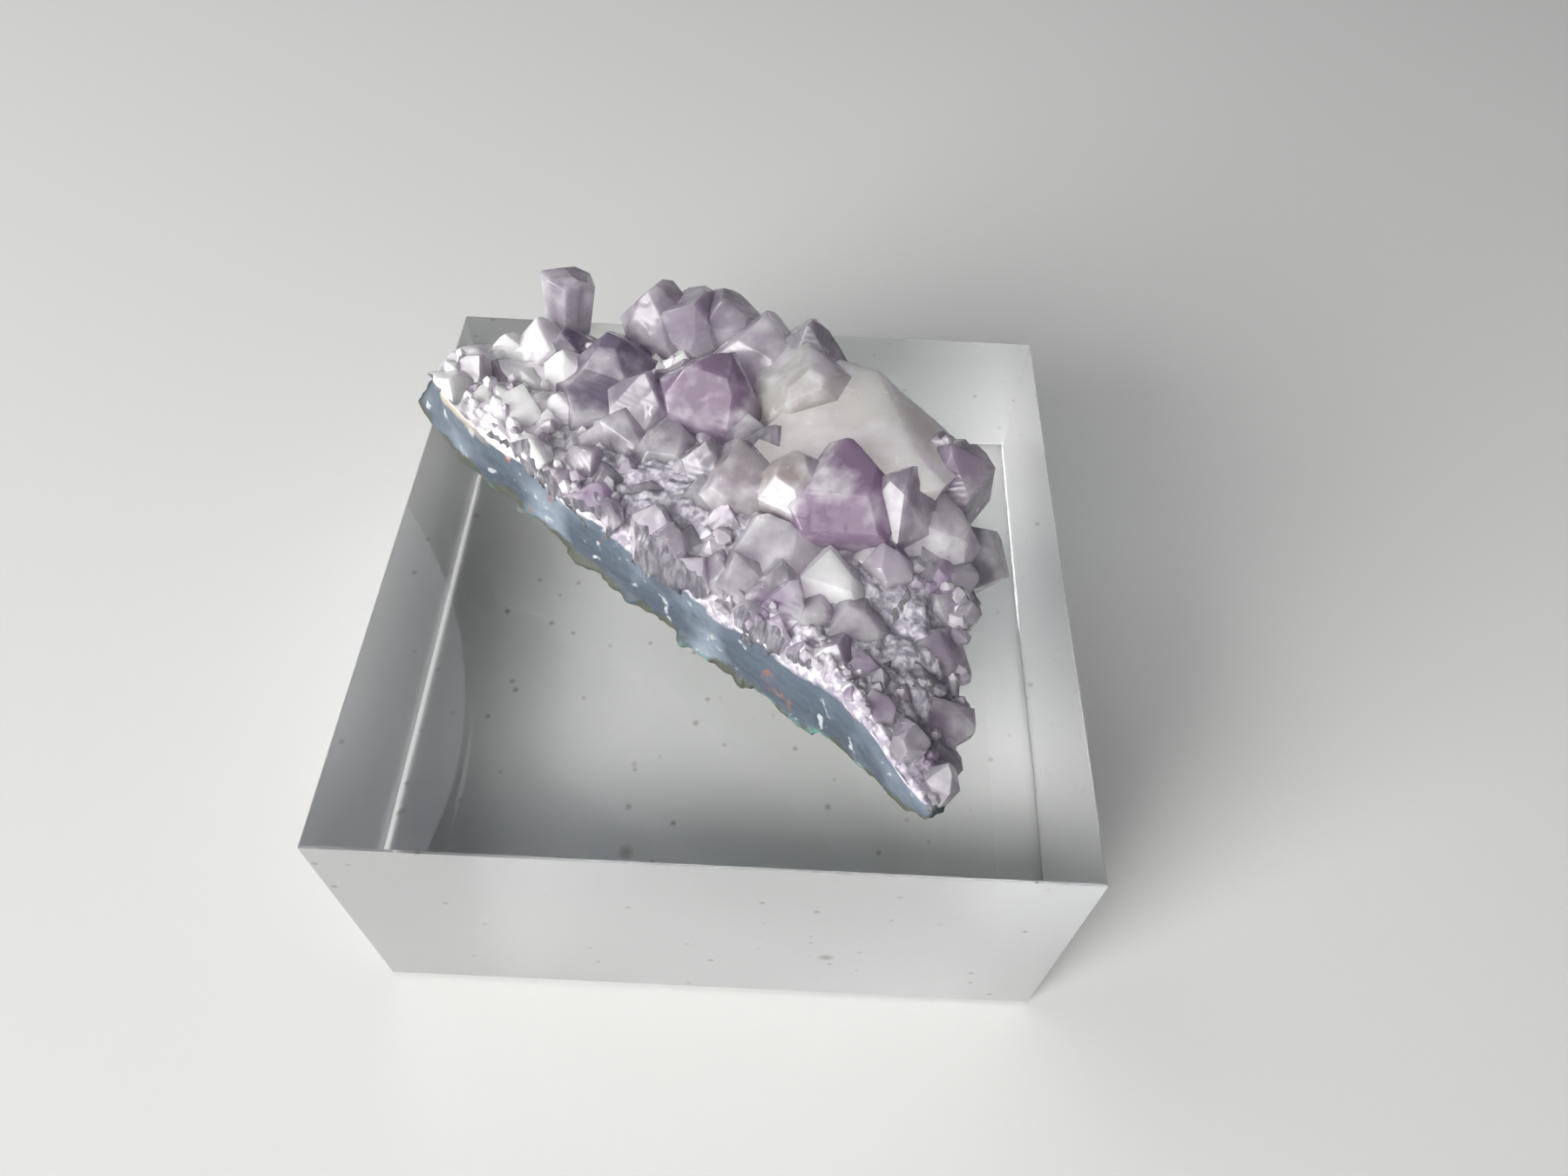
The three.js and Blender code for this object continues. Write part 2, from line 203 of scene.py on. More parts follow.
def on_stone(points):
    """Turns the stone's own millimetres (along the rim, inwards, up) into metres in the frame."""
    s, t, h = np.moveaxis(np.asarray(points, float), -1, 0)
    cos, sin = np.cos(RIM_DIRECTION), np.sin(RIM_DIRECTION)
    x = RIM_MIDDLE[0] + s * cos - t * sin
    y = RIM_MIDDLE[1] + s * sin + t * cos
    return np.stack([x, y, BLOCK_TOP + h], -1) * MM


LATTICE_PRIMES, SEED_PRIME, MIXING_PRIME = (73856093, 19349663, 83492791), 2654435, 1274126177
LARGEST = 0x7FFFFFFF


def noise(points, size, seed):
    """Value noise from -1 to 1: random numbers on a lattice of that size, blended smoothly."""
    places = np.asarray(points, float) / size
    corner = np.floor(places).astype(np.int64)
    share = places - corner
    share = share * share * (3 - 2 * share)
    total = np.zeros(places.shape[:-1])
    for step in np.ndindex(2, 2, 2):
        step = np.array(step)
        x, y, z = np.moveaxis((corner + step) * LATTICE_PRIMES, -1, 0)
        mixed = x ^ y ^ z ^ (seed * SEED_PRIME)
        mixed = (mixed ^ (mixed >> 13)) * MIXING_PRIME & LARGEST
        weight = np.prod(np.where(step, share, 1 - share), axis=-1)
        total += weight * (mixed / (LARGEST // 2) - 1)
    return total


def outline_points(around):
    """The closed cubic curve through the outline's corners, at shares of its length in corners.
    At each corner it runs the way from the corner before to the one after, times a tension."""
    place = (around % 1) * len(OUTLINE)
    index = np.floor(place).astype(int)
    u = (place - index)[:, None]
    before, start, end, after = (OUTLINE[(index + k) % len(OUTLINE)] for k in (-1, 0, 1, 2))
    leave, arrive = OUTLINE_TENSION * (end - before), OUTLINE_TENSION * (after - start)
    bend = 2 * start - 2 * end + leave + arrive
    rise = -3 * start + 3 * end - 2 * leave - arrive
    return ((bend * u + rise) * u + leave) * u + start


def mesh_piece(name, points, faces, smooth=False):
    """A new object at the origin, with a mesh of those points and faces."""
    mesh = bpy.data.meshes.new(name)
    mesh.from_pydata(points.tolist(), [], faces)
    mesh.polygons.foreach_set("use_smooth", np.full(len(faces), smooth))
    mesh.update()
    piece = bpy.data.objects.new(name, mesh)
    bpy.context.scene.collection.objects.link(piece)
    return piece


def grid_faces(rows, columns):
    """Four-cornered faces between the rows of a grid that closes on itself along its columns."""
    row, column = np.meshgrid(np.arange(rows - 1), np.arange(columns), indexing="ij")
    following = (column + 1) % columns
    corners = [row * columns + column, row * columns + following,
               (row + 1) * columns + following, (row + 1) * columns + column]
    return np.stack(corners, -1).reshape(-1, 4).tolist()


AROUND_RIM, AROUND_BACK = 420, 180
SKIN_ROWS, EDGE_ROWS, BED_ROWS = 40, 34, 60
# The rows of the skin and of the bed both crowd towards the outline.
SKIN_CROWDING, BED_CROWDING = 0.7, 1.3
LUMP_SIZE, GRAIN_SIZE, GRIT_SIZE = 1.7, 0.8, 0.4
SKIN_RELIEF, SKIN_GRAIN, SKIN_GRIT, SKIN_DROP = 0.8, 0.3, 0.13, 0.6
SKIN_FADE = 0.2
EDGE_RELIEF, EDGE_GRIT = 0.14, 0.5
OUTLINE_RELIEF_START = 0.8
BED_RELIEF, BED_GRAIN, BED_GRIT = 0.45, 0.6, 0.4


def wall_surface():
    """Closed surface over polar rows: from the middle of the skin out to the outline, up the
    broken edge while leaning in, and back over the bed of quartz to the middle. Value noise
    roughens each zone. Depth is 0 on the skin, rises to 1 up the edge, and is 2 on the bed."""
    rim_share = (RIM_CORNERS - 1) / len(OUTLINE)
    around = np.concatenate([np.linspace(0, rim_share, AROUND_RIM, endpoint=False),
                             np.linspace(rim_share, 1, AROUND_BACK, endpoint=False)])
    edge = outline_points(around) - BOWL_CENTRE
    reach = np.linalg.norm(edge, axis=1)
    bearing = edge / reach[:, None]
    skin_share = np.linspace(0, 1, SKIN_ROWS + 1)[1:] ** SKIN_CROWDING
    rising = np.linspace(0, 1, EDGE_ROWS + 1)[1:]
    bed_share = 1 - np.linspace(0, 1, BED_ROWS + 1)[1:-1] ** BED_CROWDING
    share = np.concatenate([skin_share, np.ones(EDGE_ROWS), bed_share])
    rise = np.concatenate([np.zeros(SKIN_ROWS), rising, np.ones(BED_ROWS - 1)])
    on_bed = np.concatenate([np.zeros(SKIN_ROWS + EDGE_ROWS), np.ones(BED_ROWS - 1)])
    lean = RIM_LEAN + LEFT_LEAN * smoothstep(-edge[:, 0], LEFT_LEAN_START, LEFT_LEAN_END)
    length = (reach - lean * rise[:, None]) * share[:, None]
    s, t = np.moveaxis(BOWL_CENTRE + bearing * length[..., None], -1, 0)
    skin, wall = skin_height(s, t), wall_height(s, t)
    inset = np.maximum(reach - lean - length, 0) * on_bed[:, None]
    bed = BED_SHARE * layer_height(s, t) * np.clip(inset / BED_MARGIN, 0, 1) ** BED_ROUNDING
    height = skin + (wall - skin) * rise[:, None] + bed
    points = np.stack([s, t, height], -1)
    lump = noise(points, LUMP_SIZE, 1)
    grain = noise(points, GRAIN_SIZE, 2)
    grit = noise(points, GRIT_SIZE, 3)
    on_skin = 1 - smoothstep(rise, 0.0, SKIN_FADE)[:, None]
    on_edge = (1 - on_skin) * (1 - on_bed[:, None])
    clay = on_skin * (SKIN_RELIEF * np.maximum(lump + SKIN_GRAIN * grain, 0) + SKIN_GRIT * grit)
    outwards = clay + EDGE_RELIEF * on_edge * (lump + EDGE_GRIT * grit)
    near_outline = smoothstep(share, OUTLINE_RELIEF_START, 1)[:, None]
    points[..., :2] += bearing * (outwards * near_outline)[..., None]
    points[..., 2] -= SKIN_DROP * clay * (share[:, None] < 1)
    points[..., 2] += BED_RELIEF * (BED_GRAIN * grain + BED_GRIT * grit) * np.clip(inset, 0, 1)
    points[..., 2] = np.maximum(points[..., 2], REST_GAP / 2)
    depth = rise[:, None] + on_bed[:, None] + 0 * s
    poles = np.array([[*BOWL_CENTRE, skin_height(*BOWL_CENTRE)],
                      [*BOWL_CENTRE, points[-1, :, 2].mean()]])
    return np.vstack([points.reshape(-1, 3), poles]), np.append(depth.ravel(), [0, 2])


def wall_faces():
    """The faces between all the rows, and a fan round each of the two poles."""
    columns = AROUND_RIM + AROUND_BACK
    rows = SKIN_ROWS + EDGE_ROWS + BED_ROWS - 1
    column = np.arange(columns)
    following = (column + 1) % columns
    last = (rows - 1) * columns
    under, over = rows * columns, rows * columns + 1
    start = np.stack([np.full(columns, under), following, column], -1)
    end = np.stack([np.full(columns, over), last + column, last + following], -1)
    return start.tolist() + grid_faces(rows, columns) + end.tolist()


SKIN_COLOURS = "#3d423e", "#565a4c", "#5f8f86"
BAND_COLOURS = "#434d59", "#56616f", "#828c99"
BED_COLOURS = "#9a94a2", "#cfcbd3"
RUST_COLOUR = "#8c6358"
CHALK_COLOUR = "#b4b8bb"
# Towards the left end the bed turns white, and the band's upper part turns cream: the block's
# X where that starts and where it is complete.
WHITE_BED_COLOUR, WHITE_BED_ENDS = "#efebf0", (-8, -13)
CREAM_COLOUR, CREAM_ENDS = "#b5ab9b", (-16.5, -18.5)
# The sizes of the clouds in the stone, of its flecks and of its grain.
PATCH_SIZE, CLOUD_SIZE, FLECK_SIZE = 6.25, 2.38, 1.54
CLAY_GRAIN_SIZE, QUARTZ_GRAIN_SIZE = 0.667, 0.455
BANDS, BAND_SWING, BAND_WAVE = 9.0, 0.8, 0.55
WAXY_ROUGHNESS, CHALCEDONY_IOR = 0.62, 1.54
BROKEN_GRAIN_HEIGHT = 0.3
# Where each colour sets in and where it is complete, in the value that it follows.
TEAL_SPOTS, RUST_SPOTS, CHALK_SPOTS = (0.54, 0.62), (0.63, 0.7), (0.91, 0.98)
BAND_TONES, PALE_PATCHES, WHITE_GRAINS = (0.5, 1.35), (0.46, 0.66), (0.42, 0.62)
SKIN_BORDER, CREAM_BORDER, BED_BORDER = (0.06, 0.14), (0.8, 0.88), (0.95, 1.03)


def between(ends):
    """The inputs of a node that rises from 0 at the first end to 1 at the second."""
    return {"From Min": ends[0], "From Max": ends[1]}


def broken_chalcedony():
    """Chalcedony broken across its bands is dull and waxy, with bands about 1 mm wide that
    run along the wall. Dark green clay clings to the skin, with chalky and rusty flecks."""
    material, tree = new_material("broken_chalcedony")
    place = add(tree, "TexCoord", {}).outputs["Object"]
    depth = add(tree, "Attribute", {}, attribute_name="depth").outputs["Fac"]
    cloud = add(tree, "TexNoise", {"Vector": place, "Scale": 1 / (CLOUD_SIZE * MM),
                                   "Detail": 5.0}).outputs["Fac"]
    patch = add(tree, "TexNoise", {"Vector": place, "Scale": 1 / (PATCH_SIZE * MM),
                                   "Detail": 3.0}).outputs["Fac"]
    grit = add(tree, "TexNoise", {"Vector": place, "Scale": 1 / (CLAY_GRAIN_SIZE * MM),
                                  "Detail": 6.0}).outputs["Fac"]
    shifted = add(tree, "Math", {0: cloud, 1: 0.5}, operation="SUBTRACT").outputs[0]
    wavy = add(tree, "Math", {0: shifted, 1: BAND_WAVE, 2: depth},
               operation="MULTIPLY_ADD").outputs[0]
    dark_green = add(tree, "Mix", {0: grit, 6: linear(SKIN_COLOURS[0]), 7: linear(SKIN_COLOURS[1])},
                     data_type="RGBA").outputs[2]
    teal = add(tree, "MapRange", {"Value": cloud, **between(TEAL_SPOTS)}).outputs[0]
    skin = add(tree, "Mix", {0: teal, 6: dark_green, 7: linear(SKIN_COLOURS[2])},
               data_type="RGBA").outputs[2]
    streak_place = add(tree, "Math", {0: wavy, 1: BANDS}, operation="MULTIPLY").outputs[0]
    streak = add(tree, "TexNoise", {"W": streak_place, "Scale": 1.0, "Detail": 2.0},
                 noise_dimensions="1D").outputs["Fac"]
    banded = add(tree, "Math", {0: streak, 1: BAND_SWING, 2: wavy},
                 operation="MULTIPLY_ADD").outputs[0]
    bands = add(tree, "MapRange", {"Value": banded, **between(BAND_TONES)}).outputs[0]
    blue = add(tree, "Mix", {0: bands, 6: linear(BAND_COLOURS[0]), 7: linear(BAND_COLOURS[1])},
               data_type="RGBA").outputs[2]
    pale = add(tree, "MapRange", {"Value": patch, **between(PALE_PATCHES)}).outputs[0]
    band = add(tree, "Mix", {0: pale, 6: blue, 7: linear(BAND_COLOURS[2])},
               data_type="RGBA").outputs[2]
    rust = add(tree, "MapRange", {"Value": cloud, **between(RUST_SPOTS)}).outputs[0]
    rusty = add(tree, "Mix", {0: rust, 6: band, 7: linear(RUST_COLOUR)},
                data_type="RGBA").outputs[2]
    fleck = add(tree, "TexNoise", {"Vector": place, "Scale": 1 / (FLECK_SIZE * MM),
                                   "Detail": 2.0}).outputs["Fac"]
    ragged = add(tree, "Math", {0: grit, 1: 0.5, 2: fleck}, operation="MULTIPLY_ADD").outputs[0]
    chalky = add(tree, "MapRange", {"Value": ragged, **between(CHALK_SPOTS)}).outputs[0]
    flecked = add(tree, "Mix", {0: chalky, 6: rusty, 7: linear(CHALK_COLOUR)},
                  data_type="RGBA").outputs[2]
    sideways = add(tree, "SeparateXYZ", {0: place}).outputs["X"]
    sideways = add(tree, "Math", {0: sideways, 1: 1 / MM}, operation="MULTIPLY").outputs[0]
    at_left = add(tree, "MapRange", {"Value": sideways, **between(CREAM_ENDS)}).outputs[0]
    upper = add(tree, "MapRange", {"Value": wavy, **between(CREAM_BORDER)}).outputs[0]
    creamy = add(tree, "Math", {0: at_left, 1: upper}, operation="MULTIPLY").outputs[0]
    wall = add(tree, "Mix", {0: creamy, 6: flecked, 7: linear(CREAM_COLOUR)},
               data_type="RGBA").outputs[2]
    from_skin = add(tree, "MapRange", {"Value": wavy, **between(SKIN_BORDER)}).outputs[0]
    lower = add(tree, "Mix", {0: from_skin, 6: skin, 7: wall}, data_type="RGBA").outputs[2]
    to_bed = add(tree, "MapRange", {"Value": wavy, **between(BED_BORDER)}).outputs[0]
    quartz = add(tree, "TexNoise", {"Vector": place, "Scale": 1 / (QUARTZ_GRAIN_SIZE * MM),
                                    "Detail": 3.0}).outputs["Fac"]
    bright = add(tree, "MapRange", {"Value": quartz, **between(WHITE_GRAINS)}).outputs[0]
    grey_bed = add(tree, "Mix", {0: bright, 6: linear(BED_COLOURS[0]), 7: linear(BED_COLOURS[1])},
                   data_type="RGBA").outputs[2]
    whiter = add(tree, "MapRange", {"Value": sideways, **between(WHITE_BED_ENDS)}).outputs[0]
    bed = add(tree, "Mix", {0: whiter, 6: grey_bed, 7: linear(WHITE_BED_COLOUR)},
              data_type="RGBA").outputs[2]
    colour = add(tree, "Mix", {0: to_bed, 6: lower, 7: bed}, data_type="RGBA").outputs[2]
    grainy = add(tree, "Bump", {"Height": grit, "Strength": 0.5,
                                "Distance": BROKEN_GRAIN_HEIGHT * MM}).outputs["Normal"]
    shader = add(tree, "BsdfPrincipled", {
        "Base Color": colour, "Roughness": WAXY_ROUGHNESS, "IOR": CHALCEDONY_IOR, "Normal": grainy})
    add(tree, "OutputMaterial", {"Surface": shader.outputs[0]})
    return material


wall_points, wall_depth = wall_surface()
chalcedony_wall = mesh_piece("chalcedony_wall", on_stone(wall_points), wall_faces(), smooth=True)
depth_layer = chalcedony_wall.data.attributes.new("depth", "FLOAT", "POINT")
depth_layer.data.foreach_set("value", wall_depth.astype(np.float32))
dress(chalcedony_wall, broken_chalcedony())
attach(chalcedony_wall, "root")
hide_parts("amethyst_cluster")


# The crystals are quartz points that grew from the wall towards the middle of the geode.
# Most are pale, milky at the root and lilac near the tip. They grew into one another, so
# they are joined in one solid, which the breaks at the front and the back cut through.

# The colour at a crystal's root, the colour at its tip, and how clear it is, from 0 to 1.
PALETTE = {
    "smoky": ("#d2cbd5", "#bcb2c1", 0.6),
    "dark": ("#bdb4c3", "#9e94a9", 0.65),
    "purple": ("#beaec0", "#a791ab", 0.6),
    "plum": ("#b4a1b4", "#a28ba6", 0.5),
    "lilac": ("#d8ced8", "#c6b5cd", 0.6),
    "pale": ("#ddd7df", "#d2c8d6", 0.55),
    "beige": ("#f4ede9", "#efe6e6", 0.25),
    "ash": ("#c4bcbf", "#b7aeb3", 0.5),
    "olive": ("#d6d3cc", "#cfccc9", 0.45),
    "cream": ("#c9c0bb", "#bfb5b4", 0.5),
    "white": ("#f9f6f9", "#f8f4f8", 0.15),
    "milky": ("#d6d2d8", "#d0cbd3", 0.4),
    "grey": ("#cdc9d0", "#c0bbc5", 0.65),
}
# Tip s, t and h, foot s and t, radius, turn in degrees, colour, and how deep the tip is broken
# off. A turn of 30 brings a face to the front.
LARGE_CRYSTALS = [
    (-22.5, 14.6, 14.5, -21.6, 13, 2.2, 10, "smoky", 0),
    (-12.2, 5.3, 12.2, -15.2, 10.8, 3.8, 25, "dark", 0),
    (-19.2, 10.4, 13, -18.6, 10.8, 2.8, 30, "dark", 0),
    (-10, 10.4, 14.3, -11.7, 9.9, 2.8, 30, "smoky", 0),
    (-15, 15.5, 16, -15, 17.5, 3.2, 0, "smoky", 0),
    (-11.5, 16.5, 16, -14, 19, 3, 20, "smoky", 0),
    (-10.5, 18.5, 15.5, -12, 20.5, 2.8, 40, "smoky", 0),
    (-15, 11.8, 14.5, -15.3, 12, 3.4, 30, "dark", 0.6),
    (-6, 14.2, 16.8, -7.5, 13.2, 4.3, 30, "purple", 0.8),
    (-6, 18.6, 16.3, -7, 19.5, 4.2, 30, "pale", 1.2),
    (-3.6, 20.5, 16.3, -4, 22, 3.2, 10, "grey", 0),
    (-2.5, 20.5, 16.5, 3.5, 17, 10.5, 30, "beige", 1.8),
    (-1, 15, 16.5, -3.5, 20, 5.2, 10, "olive", 0.8),
    (5, 13.4, 17.2, 5.8, 12.2, 5.2, 30, "plum", 1.6),
    (0.4, 8.5, 15.5, 0.2, 10, 3.6, 35, "ash", 1.6),
    (4.3, 6.4, 14.2, 4.6, 7.4, 3.6, 30, "milky", 1.7),
    (3.2, 10.2, 15.9, 3, 11.2, 2.4, 0, "cream", 0.9),
    (8.8, 7.8, 13.6, 9, 7.4, 4.2, 30, "white", 0.9),
    (10.2, 4.4, 12, 9, 5.5, 2.8, 10, "pale", 0.8),
    (12.5, 5.5, 12.2, 11.5, 6.5, 2.8, 40, "pale", 0.9),
    (10.4, 16.3, 14.6, 9.9, 14.8, 5, 28, "pale", 1.4),
    (9.1, 14.6, 15.6, 8.5, 15, 3.2, 0, "smoky", 0.6),
    (13.8, 16.9, 11.8, 12.4, 15.3, 3.9, 30, "grey", 0.8),
    (14.3, 8.7, 12.2, 14, 9.8, 4, 20, "pale", 1.3),
    (16.8, 8.6, 10.6, 16, 9, 3, 30, "lilac", 0.6),
    (15.2, 5.6, 10.6, 14.8, 6, 2.6, 0, "lilac", 0),
    (18.5, 4.5, 9.5, 18.5, 5, 2.2, 15, "lilac", 0),
    (-20.3, 9, 12.6, -20.8, 9, 2.8, 30, "white", 0),
    (-21.3, 5.8, 12, -20.8, 5.5, 2.2, 10, "lilac", 0),
    (-6.6, 8.5, 13.6, -7.5, 9.2, 3.6, 30, "grey", 1.2),
    (-9.5, 7.4, 13, -10, 8.4, 2.8, 0, "grey", 0.8),
    (-1.3, 6.3, 13.4, -1.5, 7.4, 3.2, 25, "grey", 1.1),
    (-5, 4.8, 12, -5, 6, 3, 40, "smoky", 0.7),
    (0, 3.6, 11.6, -0.6, 5, 3, 10, "grey", 0.8),
    (-22.4, 7.8, 12.3, -22, 8, 1.9, 20, "white", 0),
    (-20.9, 9.6, 13.6, -20.6, 9.6, 2, 5, "white", 0),
    (-22.8, 6.2, 11, -22.3, 6.4, 1.7, 40, "white", 0),
    (-18.8, 6.6, 12, -18.4, 7, 2, 12, "white", 0),
    (-15.2, 6.2, 12.1, -15.2, 6.8, 1.9, 33, "white", 0),
    (-20.4, 4.4, 10.5, -20, 4.8, 1.6, 50, "white", 0),
    (-15.6, 3.6, 10.9, -15.5, 4.2, 1.7, 25, "milky", 0),
    (-11.6, 4.2, 11.5, -11.4, 5, 1.9, 8, "milky", 0),
    (-8.2, 4, 11.5, -8.2, 4.8, 1.9, 42, "grey", 0),
    (-17.2, 8.8, 13, -17, 9, 1.9, 0, "white", 0),
    (-3.2, 8.8, 13.8, -3.2, 9.4, 2, 18, "grey", 0),
    (6.6, 3.8, 12, 6.4, 4.6, 1.9, 28, "pale", 0),
    (3.2, 3.6, 11.9, 3.2, 4.4, 1.8, 3, "grey", 0),
]
# A point is as high as this share of the crystal's radius. Two are lower, given by row.
POINT_HEIGHT, LOW_POINTS = 1.1, {0: 0.35, 22: 0.6}
TO_FRONT = np.array([0.37, -0.47, 0.8])
LOWEST_SHOULDER = 0.25
FOOT_SHARE, FOOT_DEPTH = 0.75, 0.5
PRISM_STRAY = 0.12
SMALL_FACE_SET_BACK, LARGE_FACE_SET_BACK = (0, 0.3), (-0.3, 0.1)
LARGE_CHIPS, SMALL_CHIPS = (0.2, 0.16, 0.12, 0.1, 0.08), (0.12, 0.08)
CHIPPED_RADIUS, CHIP_SLOPES = 4.5, (0.2, 1.1)
EDGE_WEAR = 0.09
# The small crystals. Each pair is along the rim and inwards from it.
DRUSE_ROWS, DRUSE_COLUMNS = 11, 22
DRUSE_START = (-26, 1.6)
DRUSE_PITCH = (2.5, 2.175)
DRUSE_STRAY = (1.8, 1.6)
DRUSE_TIP_SHARE, DRUSE_CLEARANCE, DRUSE_LEFT_MARGIN = 2 / 3, 0.62, 3.2
DRUSE_RADIUS, DRUSE_RADIUS_RANGE = 1.15, 0.9
DRUSE_RADIUS_SKEW, DRUSE_RADIUS_GROWTH = 1.5, 0.06
DRUSE_LAYER_SHARE, DRUSE_STAND, DRUSE_STAND_RANGE = 0.7, 0.5, 1.4
DRUSE_LEAN = (0.012, 0.02)
DRUSE_LEAN_STRAY, DRUSE_LEAN_DEPTH = 0.6, 3


def scatter(index, salt):
    """A number from 0 to 1 that looks random: the fraction of a large multiple of a sine."""
    wave = np.sin(index * 12.9898 + salt * 78.233) * 43758.5453
    return wave - np.floor(wave)


def inside_outline(s, t):
    """True where a line from the point along s crosses the outline an odd number of times."""
    inside = np.zeros(np.shape(s), bool)
    for (s0, t0), (s1, t1) in zip(OUTLINE, np.roll(OUTLINE, -1, axis=0)):
        crosses = (t0 > t) != (t1 > t)
        inside ^= crosses & (s < (s1 - s0) * (t - t0) / (t1 - t0 + 1e-12) + s0)
    return inside


def clear_of_large(s, t, tip_share, clearance):
    """True where no large crystal stands, with its middle that share of the way to its tip."""
    clear = np.ones(s.shape, bool)
    for tip_s, tip_t, _, foot_s, foot_t, radius, *_ in LARGE_CRYSTALS:
        middle_s = foot_s + tip_share * (tip_s - foot_s)
        middle_t = foot_t + tip_share * (tip_t - foot_t)
        clear &= np.hypot(s - middle_s, t - middle_t) >= clearance * radius
    return clear


def small_crystals():
    """Crystals in staggered rows, a little out of line, where no large crystal stands. They
    lean towards the middle, and their height follows the quartz layer's."""
    row, column = np.meshgrid(np.arange(DRUSE_ROWS), np.arange(DRUSE_COLUMNS), indexing="ij")
    index = (row * DRUSE_COLUMNS + column + 1).astype(float)
    stray_s, stray_t = scatter(index, 1) - 0.5, scatter(index, 2) - 0.5
    s = DRUSE_START[0] + (column + (row % 2) / 2) * DRUSE_PITCH[0] + DRUSE_STRAY[0] * stray_s
    t = DRUSE_START[1] + row * DRUSE_PITCH[1] + DRUSE_STRAY[1] * stray_t
    free = inside_outline(s, t) & inside_outline(s - DRUSE_LEFT_MARGIN, t)
    free &= clear_of_large(s, t, DRUSE_TIP_SHARE, DRUSE_CLEARANCE)
    s, t, index = s[free], t[free], index[free]
    width = DRUSE_RADIUS_RANGE * scatter(index, 3) ** DRUSE_RADIUS_SKEW
    radius = DRUSE_RADIUS + width + DRUSE_RADIUS_GROWTH * t
    base = wall_height(s, t)
    stand = DRUSE_STAND + DRUSE_STAND_RANGE * scatter(index, 4)
    top = base + DRUSE_LAYER_SHARE * layer_height(s, t) + stand
    lean_s = DRUSE_LEAN_STRAY * (scatter(index, 5) - 0.5) - DRUSE_LEAN[0] * (s - BOWL_S)
    lean_t = DRUSE_LEAN_STRAY * (scatter(index, 6) - 0.5) - DRUSE_LEAN[1] * (t - BOWL_T)
    below = top - base + FOOT_DEPTH - DRUSE_LEAN_DEPTH
    foot = np.stack([s - lean_s * below, t - lean_t * below, base - FOOT_DEPTH], -1)
    tip = np.stack([s + lean_s * DRUSE_LEAN_DEPTH, t + lean_t * DRUSE_LEAN_DEPTH, top], -1)
    return foot, tip, radius, 60 * scatter(index, 7), index


FINE_ROWS, FINE_COLUMNS, FINE_PLACES_SEED = 30, 58, 7
FINE_START = (-26.5, 0.3)
FINE_PITCH = (0.9, 0.72)
FINE_STRAY, FINE_LEFT_MARGIN = 0.55, 3.6
FINE_TIP_SHARE, FINE_CLEARANCE = 1 / 2, 0.7
FINE_RADIUS, FINE_RADIUS_RANGE, FINE_RADIUS_SKEW = 0.3, 0.4, 2
FINE_STAND, FINE_STAND_RANGE, FINE_STAND_SKEW = 0.35, 0.8, 1.5
FINE_DEPTH = 0.8
FINE_LEAN, FINE_LEAN_OUT = 0.35, 0.1
FINE_UNEVENNESS = 0.6
# They start this far from the rim. Away from it and from the two ends they are this much wider.
FINE_RIM = 0.5
WIDER_FROM_RIM, WIDER_ENDS, WIDER = 2.6, (-17, 17), 2.2
# At the left end they stand higher, from nothing to all of it over these stretches of s and t.
HIGHER_LEFT, HIGHER_S, HIGHER_T = 0.5, (-6, -14), (1, 4)
BACK_BREAK, BACK_MARGIN = 21.8, 1


def fine_crystals():
    """The smallest crystals: staggered rows, strayed at random, that stand a little above the
    bed between the others and lean at random, a little more towards the rim."""
    rng = np.random.default_rng(FINE_PLACES_SEED)
    column, row = np.meshgrid(np.arange(FINE_COLUMNS), np.arange(FINE_ROWS))
    stray = FINE_STRAY * rng.uniform(-1, 1, (2, *row.shape))
    s = FINE_START[0] + (column + (row % 2) / 2) * FINE_PITCH[0] + stray[0]
    t = FINE_START[1] + row * FINE_PITCH[1] + stray[1]
    rim = np.interp(s, OUTLINE[:RIM_CORNERS, 0], OUTLINE[:RIM_CORNERS, 1])
    free = inside_outline(s, t) & inside_outline(s - FINE_LEFT_MARGIN, t) & (t > rim + FINE_RIM)
    free &= (t < BACK_BREAK - BACK_MARGIN) & clear_of_large(s, t, FINE_TIP_SHARE, FINE_CLEARANCE)
    wider = (t > rim + WIDER_FROM_RIM) & (s > WIDER_ENDS[0]) & (s < WIDER_ENDS[1])
    s, t, wider = s[free], t[free], wider[free]
    radius = FINE_RADIUS + FINE_RADIUS_RANGE * rng.random(len(s)) ** FINE_RADIUS_SKEW
    radius = np.where(wider, WIDER, 1) * radius
    bed = wall_height(s, t) + BED_SHARE * layer_height(s, t) * np.clip(t / BED_MARGIN, 0, 1)
    stand = FINE_STAND + FINE_STAND_RANGE * rng.random(len(s)) ** FINE_STAND_SKEW
    higher = smoothstep(-s, -HIGHER_S[0], -HIGHER_S[1]) * smoothstep(t, *HIGHER_T)
    top = bed + stand + HIGHER_LEFT * higher
    lean = rng.uniform(-FINE_LEAN, FINE_LEAN, (2, len(s)))
    foot = np.stack([s, t, bed - FINE_DEPTH], -1)
    rise = top - foot[:, 2]
    tip = np.stack([s + lean[0] * rise, t + (lean[1] - FINE_LEAN_OUT) * rise, top], -1)
    return foot, tip, radius, rng.uniform(0, 60, len(s))


# One crystal, in millimetres and degrees. The point's height and the chips' depths are shares
# of its radius, and the colours are a row of the palette.
Crystal = collections.namedtuple(
    "Crystal", "foot tip radius turn colours seed point unevenness chips broken_off",
    defaults=(0, POINT_HEIGHT, 1.0, (), 0.0))


